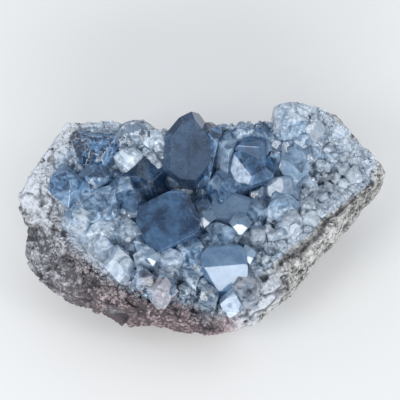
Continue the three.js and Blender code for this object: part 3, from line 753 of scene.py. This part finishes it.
def crustGrains(form, crystals, rng):
    # places, ways out and sizes of the grains on the milky crystals, most of them low down
    triangles, polygon = trianglesOf(crystals.data)
    owner = faceValues(crystals.data, "crystal").astype(int)[polygon]
    bare = [i for i, name in enumerate(showCrystals) if name not in form["frosted"]]
    middle, facing = lieOf(triangles)
    low = smooth(9, 3, middle[:, 2] - hollow(middle[:, 0], middle[:, 1]))
    weights = np.where(np.isin(owner, bare), 0.0, 0.3 + 0.7 * low) * smooth(-0.1, 0.3, facing)
    places, ways, _ = pickOn(triangles, weights, form["onCrystals"], rng)
    size = 0.9 + (form["grown"] - 0.9) * rng.random(form["onCrystals"]) ** 1.4
    return places, ways, size


def makeDruse(form, rock, crystals):
    rng = np.random.default_rng(8)
    places, ways, size, edge, warm = rimGrains(form, rock, rng)
    more, moreWays, moreSize = crustGrains(form, crystals, rng)
    places = np.concatenate([places, more])
    ways = np.concatenate([ways, moreWays])
    size = np.concatenate([size, moreSize])
    edge, warm = [np.concatenate([values, np.zeros(len(more))]) for values in (edge, warm)]
    count = len(places)
    h = rng.random((9, count))
    lean = rng.normal(size=(count, 3)) * 0.45
    axes = unit(ways + lean + [0, 0, 0.35])
    rows = np.stack([places[:, 0], places[:, 1], size, size * (0.6 + 0.4 * h[0]), size * (0.7 + 0.6 * h[1]),
                     h[2], h[2], 360 * h[3], 28 + 20 * h[4], 26 + 20 * h[5], 0.05 + 0.2 * h[6]], axis=-1)
    places = places - ways * (form["sunk"] * size)[:, None]
    seeds = 1000 + np.arange(count, dtype=float)
    points, loops, starts, owner, _ = crystalMesh(rows, seeds, places, axes, size)
    druse = makeObject("druse", points, loops, starts)
    druse.data.polygons.foreach_set("use_smooth", np.zeros(len(druse.data.polygons), dtype=bool))

    left = smooth(-14, -34, places[:, 0])
    right = smooth(24, 34, places[:, 0])
    sugar = smooth(-34, -29, places[:, 0]) * smooth(-10, -16, places[:, 0]) * smooth(18, 22, places[:, 1])
    middle = smooth(-24, -14, places[:, 0]) * (1 - right) * (1 - sugar) * smooth(30, 22, places[:, 1])
    lip = smooth(-12, -20, places[:, 1] - 0.8 * places[:, 0]) * smooth(4, 14, places[:, 0])
    tone = 0.5 + 0.5 * (softNoise(places, 9.0, 41) - 0.5) + 0.3 * (h[7] - 0.5) - 0.3 * left - 0.55 * right
    tone = tone + 0.15 * middle - 0.5 * sugar - 0.35 * lip - 0.4 * edge + 0.35 * warm
    clear = (0.15 + 0.4 * h[8] + 0.3 * middle) * (1 - 0.6 * edge)
    for name, values in (("tone", tone), ("clear", clear), ("broken", 0.4 + 0.6 * h[2]), ("warm", warm)):
        addValues(druse.data, name, np.clip(values, 0, 1)[owner], "FACE")
    return druse


rock = makeRock(rockLook)
print("rock made:", len(rock.data.polygons), "faces")
crystals, crystalRows, crystalSeeds = makeCrystals()
shadeCrystals(crystals, crystalRows, crystalSeeds)
print("crystals made:", len(crystals.data.polygons), "faces")
druse = makeDruse(druseForm, rock, crystals)
print("druse made:", len(druse.data.polygons), "faces")


def toLinear(colour):
    # an sRGB hex colour as linear values
    values = [int(colour[i:i + 2], 16) / 255 for i in (1, 3, 5)]
    return [v / 12.92 if v < 0.04045 else ((v + 0.055) / 1.055) ** 2.4 for v in values] + [1]


def addNode(tree, kind, inputs=(), out=0, **settings):
    # adds a node with its settings and gives one of its outputs: an input is linked to a socket, or set
    # to a value
    node = tree.nodes.new("ShaderNode" + kind)
    for name, value in settings.items():
        setattr(node, name, value)
    for key, value in inputs.items() if isinstance(inputs, dict) else enumerate(inputs):
        if isinstance(value, bpy.types.NodeSocket):
            tree.links.new(value, node.inputs[key])
        else:
            node.inputs[key].default_value = value
    return node.outputs[out] if node.outputs else None


def newMaterial(name):
    # an empty material, and what adds nodes to it
    material = bpy.data.materials.new(name)
    material.use_nodes = True
    material.node_tree.nodes.clear()
    return material, partial(addNode, material.node_tree)


def brokenNormal(add, place, size, tilt):
    # each patch of the surface leans its own way
    patches = add("TexVoronoi", {"Vector": place, "Scale": 1 / (size * mm)}, "Color")
    offset = add("VectorMath", (patches, (0.5, 0.5, 0.5)), operation="SUBTRACT")
    lean = add("VectorMath", {0: offset, "Scale": tilt}, operation="SCALE")
    total = add("VectorMath", (add("NewGeometry", out="Normal"), lean), operation="ADD")
    return add("VectorMath", (total,), operation="NORMALIZE")


stoneLook = {
    "grains": "#D0D2D8", "shade": "#54545A", "pits": "#34323A",
    "flank": "#D7D6D2", "flankShade": "#4E4D48", "speck": "#2E2E2C",
    "rosy": "#F6D9D6", "bed": "#C3D5E8", "crust": "#DFE9F5",
    "grainSize": 0.8, "speckSize": 2.2, "cloudSize": 9.0, "roughness": 0.7,
    "facet": 0.8, "sugarRoughness": 0.3,  # the sparkling faces of the fine sugary crystals
}


def stoneMaterial(look):
    # granular rock of a celestite nodule: celestite grains and limestone, pale grey, with dark pits
    material, add = newMaterial("geode rock")
    place = add("TexCoord", out="Object")
    cells = add("TexVoronoi", {"Vector": place, "Scale": 1 / (look["grainSize"] * mm)})
    specks = add("TexVoronoi", {"Vector": place, "Scale": 1 / (look["speckSize"] * mm)})
    cloudy = add("TexNoise", {"Vector": place, "Scale": 1 / (look["cloudSize"] * mm), "Detail": 4,
                              "Roughness": 0.6})
    zone = {name: add("Attribute", out="Fac", attribute_name=name) for name in (
        "flank", "darkAndShaded", "crumb", "whiteAndLit", "rosy", "pit", "ledge", "bed", "sugar")}
    grain = add("SeparateColor", (cells.node.outputs["Color"],))
    share = add("Math", (grain, 0.85, add("MapRange", (cloudy, 0.3, 0.7, -0.25, 0.3))),
                operation="MULTIPLY_ADD")
    # the first of these darkens the front left, partly as darker rock and partly as painted shade; the last
    # lightens the left rim, partly as whiter rock and partly as painted light
    for name, amount in (("darkAndShaded", 0.45), ("crumb", 1), ("whiteAndLit", -0.65)):
        share = add("Math", (zone[name], amount, share), operation="MULTIPLY_ADD")
    linear = {name: toLinear(value) for name, value in look.items() if isinstance(value, str)}
    colour = add("Mix", {0: share, 6: linear["grains"], 7: linear["shade"]}, 2, data_type="RGBA")
    flank = add("Mix", {0: share, 6: linear["flank"], 7: linear["flankShade"]}, 2, data_type="RGBA")
    dark = add("Math", (add("Math", (specks, 0.2), operation="LESS_THAN"), zone["flank"]),
               operation="MULTIPLY")
    for where, amount, over, kind in (
            # the whiter left rim is partly painted light
            (zone["flank"], 0.85, flank, "MIX"), (zone["whiteAndLit"], 0.45, linear["crust"], "MIX"),
            (zone["rosy"], 1, linear["rosy"], "MULTIPLY"), (zone["pit"], 0.75, linear["pits"], "MIX"),
            # the groove is painted dark, partly as painted shade
            (dark, 0.7, linear["speck"], "MIX"), (zone["ledge"], 0.75, linear["pits"], "MIX"),
            (zone["bed"], 1, linear["bed"], "MIX")):
        share = add("Math", (where, amount), operation="MULTIPLY")
        colour = add("Mix", {0: share, 6: colour, 7: over}, 2, data_type="RGBA", blend_type=kind)
    lean = add("Math", (zone["sugar"], 1.2), operation="MULTIPLY")
    bump = add("Bump", {"Strength": 0.7, "Distance": 0.25 * mm, "Height": cells,
                        "Normal": brokenNormal(add, place, look["facet"], lean)})
    gloss = add("MapRange", (zone["sugar"], 0, 1, look["roughness"], look["sugarRoughness"]))
    shader = add("BsdfPrincipled", {"Base Color": colour, "Roughness": gloss, "Normal": bump})
    add("OutputMaterial", {"Surface": shader})
    return material


crystalLook = {
    "colours": ("#DDE9F5", "#A6C4E1", "#557EA8", "#1F3857"),  # from the palest to the deepest
    "ior": 1.62, "shine": 0.04, "dull": 0.12,
    "absorb": "#7FAEE0", "density": 26.0,
    "lighter": 0.6,  # how much paler a crystal's own colour is the clearer it is
    "edge": 0.6,  # how much paler the worn edges are painted: a painted highlight
    "mosaic": 1.4, "tilt": 0.55,  # size of the patches of a broken surface, and how far they lean
    "fleck": 1.1, "crinkle": 0.6, "cloud": 4.0, "haze": 7.0,  # size of the flecks, veils and patches
    "warm": "#A9A0A8",  # of the grains and crystals that iron tints
}


def crystalMaterial(look, name):
    # celestite: pale to deep blue, clear to milky, with a glassy shine
    material, add = newMaterial(name)
    place = add("TexCoord", out="Object")
    tone, clear, broken, warm, edge = [add("Attribute", out="Fac", attribute_name=key) for key in (
        "tone", "clear", "broken", "warm", "edge")]
    cloud, fine, haze, crinkle = [
        add("TexNoise", {"Vector": place, "Scale": 1 / (look[key] * mm), "Detail": detail,
                         "Roughness": roughness, "Distortion": distortion})
        for key, detail, roughness, distortion in (
            ("cloud", 3, 0.5, 1.2), ("fleck", 4, 0.7, 0.3), ("haze", 1, 0.5, 0.4), ("crinkle", 3, 0.7, 0))]
    flecks = add("Math", (add("MapRange", (fine, 0.42, 0.72, -0.4, 1)),
                          add("MapRange", (broken, 0, 1, 0.12, 1))), operation="MULTIPLY")
    veils = add("Math", (add("MapRange", (cloud, 0.35, 0.65, 1, -1)),
                         add("MapRange", (broken, 0, 0.25, 0.1, 1))), operation="MULTIPLY")
    shift = add("Math", (flecks, -0.2, add("MapRange", (haze, 0.3, 0.7, -0.07, 0.07))),
                operation="MULTIPLY_ADD")
    shift = add("Math", (veils, 0.16, shift), operation="MULTIPLY_ADD")
    colour = add("ValToRGB", (add("Math", (tone, shift), operation="ADD"),))
    stops = colour.node.color_ramp.elements
    for share in (0.4, 0.8):
        stops.new(share)
    for stop, value in zip(stops, look["colours"]):
        stop.color = toLinear(value)
    colour = add("Mix", {0: warm, 6: colour, 7: toLinear(look["warm"])}, 2, data_type="RGBA")
    # painted highlight: the worn edges are made paler in flecks, more on broken crystals
    worn = add("Math", (add("MapRange", (fine, 0.35, 0.6, 0, look["edge"])),
                        add("MapRange", (broken, 0, 0.5, 0.25, 1))), operation="MULTIPLY")
    paler = add("Math", (edge, worn, add("MapRange", (clear, 0.5, 1, 0, look["lighter"]))),
                operation="MULTIPLY_ADD")
    paler = add("Math", (flecks, 0.25, paler), operation="MULTIPLY_ADD")
    colour = add("Mix", {0: paler, 6: colour, 7: toLinear(look["colours"][0])}, 2, data_type="RGBA")
    through = add("Math", (flecks, -0.3, clear), operation="MULTIPLY_ADD")
    through = add("Math", (veils, 0.25, through), operation="MULTIPLY_ADD")
    rough = add("Math", (fine, broken), operation="MULTIPLY")
    lean = add("Math", (broken, look["tilt"]), operation="MULTIPLY")
    normal = add("Bump", {"Strength": add("Math", (broken, 0.35), operation="MULTIPLY"),
                          "Distance": 0.2 * mm, "Height": crinkle,
                          "Normal": brokenNormal(add, place, look["mosaic"], lean)})
    out = {"Surface": add("BsdfPrincipled", {
        "Base Color": colour, "Roughness": add("MapRange", (rough, 0, 0.6, look["shine"], look["dull"])),
        "IOR": look["ior"], "Transmission Weight": through, "Normal": normal})}
    if "absorb" in look:
        out["Volume"] = add("VolumeAbsorption", (toLinear(look["absorb"]), look["density"]))
    add("OutputMaterial", out)
    return material


# fine sugary celestite: whiter and less clear than the large crystals
druseLook = {
    "colours": ("#D5E0EC", "#B0C6DC", "#7C9CBD", "#54718F"), "ior": 1.62, "shine": 0.06, "dull": 0.2,
    "lighter": 0, "edge": 0, "mosaic": 0.9, "tilt": 0.5,
    "fleck": 1.0, "crinkle": 0.4, "cloud": 4.0, "haze": 7.0, "warm": "#A3989C",
}


rock.data.materials.append(stoneMaterial(stoneLook))
crystals.data.materials.append(crystalMaterial(crystalLook, "celestite"))
druse.data.materials.append(crystalMaterial(druseLook, "celestite druse"))


# the camera looks down by rise, and sees this width at the place it aims at
view = {"rise": 60, "aim": (-0.86, 12.7, 20), "distance": 450, "width": 144}
# world is the strength of the sky, and room that of its darker part in front, where the room is
light = {"sky": "#E9EFF6", "world": 0.86, "room": 0.46, "roomRise": 58, "floor": "#FAF9F7"}
# bearing and rise in degrees, distance, width and height in metres, and power of each rectangle of light
softboxes = {
    "window": (-86, 23, 2.6, 2.16, 0.74, 31),
    "left side": (-150, 38, 1.2, 0.5, 0.4, 3.4),
    "right side": (-14, 40, 1.2, 0.3, 0.4, 1.2),
}


def makeCamera():
    camera = bpy.data.objects.new("camera", bpy.data.cameras.new("camera"))
    bpy.context.scene.collection.objects.link(camera)
    away = directionOf(np.array(-90 * deg), view["rise"] * deg)
    camera.location = (np.array(view["aim"]) + away * view["distance"]) * mm
    camera.rotation_euler = ((90 - view["rise"]) * deg, 0, 0)
    camera.data.angle = 2 * math.atan(view["width"] / 2 / view["distance"])
    camera.data.clip_start = 0.01
    bpy.context.scene.camera = camera


def makeSoftbox(name, bearing, rise, distance, width, height, power):
    # a rectangle of white light that faces the geode from a bearing and a rise
    lamp = bpy.data.lights.new(name, "AREA")
    lamp.shape = "RECTANGLE"
    lamp.size = width
    lamp.size_y = height
    lamp.energy = power
    thing = bpy.data.objects.new(name, lamp)
    bpy.context.scene.collection.objects.link(thing)
    away = directionOf(np.array(bearing * deg), rise * deg)
    thing.location = away * distance
    thing.rotation_euler = ((90 - rise) * deg, 0, (bearing + 90) * deg)


def makeWorld():
    # the sky, which dims smoothly towards the room
    world = bpy.data.worlds.new("studio")
    world.use_nodes = True
    world.node_tree.nodes.clear()
    add = partial(addNode, world.node_tree)
    room = tuple(directionOf(np.array(-90 * deg), light["roomRise"] * deg))
    toRoom = add("VectorMath", (add("TexCoord", out="Generated"), room), "Value", operation="DOT_PRODUCT")
    strength = add("MapRange", (toRoom, 0.45, 0.95, light["world"], light["room"]),
                   interpolation_type="SMOOTHSTEP")
    sky = add("Background", {"Color": toLinear(light["sky"]), "Strength": strength})
    add("OutputWorld", {"Surface": sky})
    bpy.context.scene.world = world


def makeFloor():
    mesh = bpy.data.meshes.new("floor")
    mesh.from_pydata([(-2, -2, 0), (2, -2, 0), (2, 2, 0), (-2, 2, 0)], [], [(0, 1, 2, 3)])
    paper, add = newMaterial("pale paper")
    shader = add("BsdfPrincipled", {"Base Color": toLinear(light["floor"]), "Roughness": 0.9})
    add("OutputMaterial", {"Surface": shader})
    mesh.materials.append(paper)
    floor = bpy.data.objects.new("floor", mesh)
    bpy.context.scene.collection.objects.link(floor)
    return floor


makeCamera()
for name, values in softboxes.items():
    makeSoftbox(name, *values)
makeWorld()
makeFloor()
bpy.context.scene.view_settings.view_transform = "Standard"

for piece, slot in ((rock, "rock"), (crystals, "celestite"), (druse, "celestite")):
    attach(piece, "root")
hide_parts("rock_shell")
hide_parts("crystal_crust")
